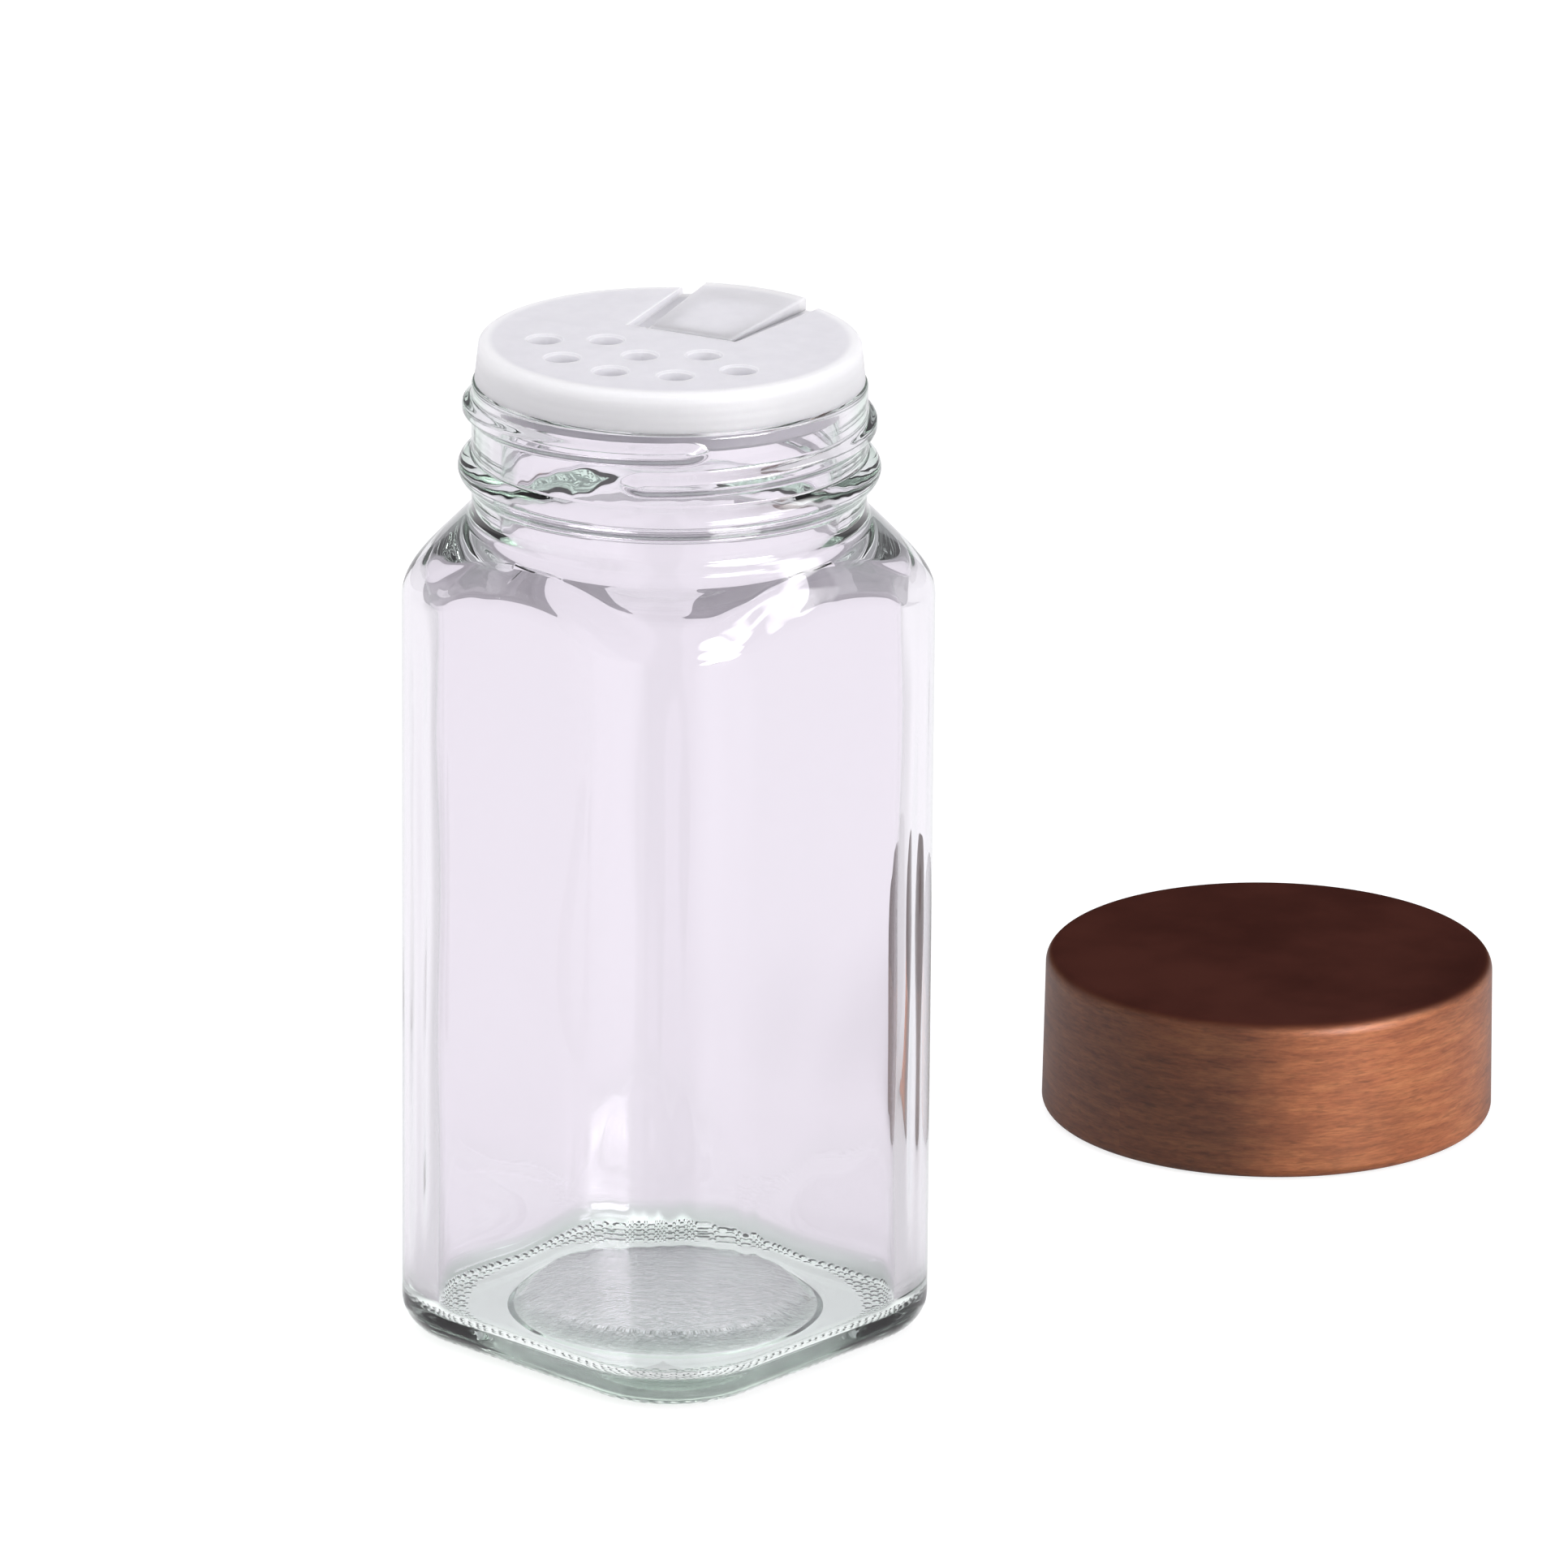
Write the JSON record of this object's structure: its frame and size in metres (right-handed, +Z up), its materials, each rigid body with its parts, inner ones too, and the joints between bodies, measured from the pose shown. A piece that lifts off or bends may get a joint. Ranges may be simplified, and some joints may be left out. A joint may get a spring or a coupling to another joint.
{
  "type": "spice jar",
  "caption": "Square clear glass spice jar with a threaded round neck, a push-fit shaker insert with a flip-up pour flap, and a wooden screw cap standing beside it.",
  "frame": {"origin": "centre of the jar's foot, on the plane that the jar and the cap stand on", "axes": "+Z up along the jar's axis, +X and +Y square to the jar's flat faces, with the cap on the +X side"},
  "size_m": [0.1404, 0.0485, 0.1062],
  "materials": {
    "glass": "clear soda-lime glass with a faint green edge",
    "insert_plastic": "frosted translucent polyethylene",
    "cap_wood": "dark stained wood with a satin lacquer",
    "liner_plastic": "moulded white plastic",
    "seal_foam": "white foam sheet"
  },
  "bodies": {
    "jar": {"glass_jar": "glass"},
    "insert": {"shaker_insert": "insert_plastic"},
    "flap": {"pour_flap": "insert_plastic"},
    "seal": {"cap_seal": "seal_foam"},
    "cap": {"cap_shell": "cap_wood", "cap_liner": "liner_plastic"}
  },
  "joints": [
    {"name": "insert_pull", "type": "slide", "parent": "jar", "child": "insert", "axis": [0, 0, 1], "range_m": [0, 0.012]},
    {"name": "flap_hinge", "type": "hinge", "parent": "insert", "child": "flap", "pos_m": [0.00406, 0.00107, 0.10525], "axis": [0.2554, -0.9668, 0], "range_deg": [0, 120]},
    {"name": "cap_lift", "type": "slide", "parent": "jar", "child": "seal", "axis": [0, 0, 1], "range_m": [0, 0.09]},
    {"name": "cap_turn", "type": "hinge", "parent": "seal", "child": "cap", "pos_m": [0.0936, -0.0017, 0], "axis": [0, 0, 1], "continuous": true}
  ]
}
